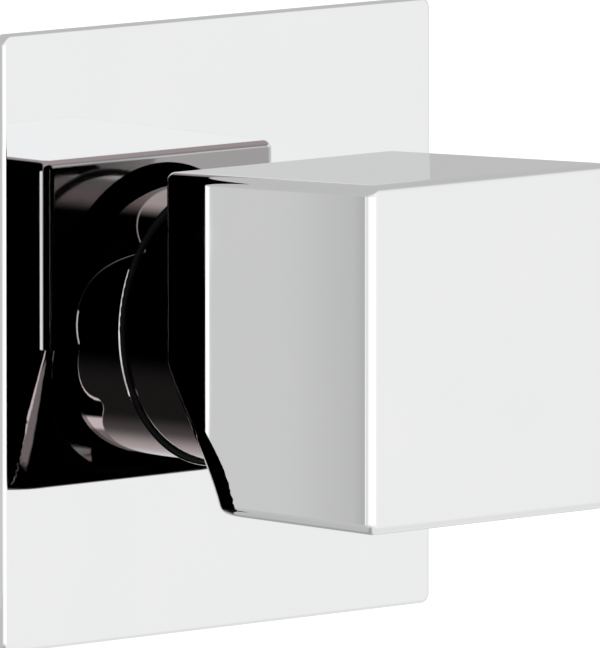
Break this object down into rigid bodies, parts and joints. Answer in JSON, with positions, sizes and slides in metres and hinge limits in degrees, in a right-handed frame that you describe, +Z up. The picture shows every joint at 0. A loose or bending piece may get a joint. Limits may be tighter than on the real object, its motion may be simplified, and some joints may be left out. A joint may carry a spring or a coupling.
{
  "type": "concealed shower diverter",
  "caption": "Concealed shower diverter with a square chrome handle on a round sleeve, a square wall plate and a brass in-wall valve body with a ceramic disc cartridge.",
  "frame": {"origin": "on the valve's axis, at the finished wall that the gasket behind the wall plate rests on", "axes": "+X to the right of someone who faces the wall, +Y into the wall along the valve's axis, +Z up"},
  "size_m": [0.08, 0.109, 0.08],
  "materials": {
    "polished_chrome": "polished",
    "brass": "machined",
    "cast_brass": "as cast, machined at the ports",
    "stainless_steel": "brushed",
    "black_rubber": "matt",
    "foam_rubber": "matt closed-cell foam",
    "white_plastic": "moulded",
    "grey_plastic": "moulded",
    "ceramic": "lapped"
  },
  "bodies": {
    "valve": {"wall_plate": "polished_chrome", "plate_seal": "black_rubber", "wall_gasket": "foam_rubber", "sleeve": "polished_chrome", "sleeve_o_ring": "black_rubber", "cartridge_nut": "brass", "cartridge_housing": "white_plastic", "housing_o_ring": "black_rubber", "cartridge_base": "white_plastic", "base_seal": "black_rubber", "disc_seal": "black_rubber", "fixed_disc": "ceramic", "thrust_washer": "white_plastic", "valve_body": "cast_brass"},
    "rotor": {"handle": "polished_chrome", "handle_hub": "brass", "handle_screw": "stainless_steel", "handle_screw_cap": "grey_plastic", "spindle": "brass", "spindle_o_rings": "black_rubber", "spindle_clip": "stainless_steel", "stop_collar": "grey_plastic", "disc_driver": "grey_plastic", "turning_disc": "ceramic"}
  },
  "joints": [
    {"name": "handle_turn", "type": "hinge", "parent": "valve", "child": "rotor", "pos_m": [0, 0, 0], "axis": [0, -1, 0], "range_deg": [-90, 90]}
  ]
}
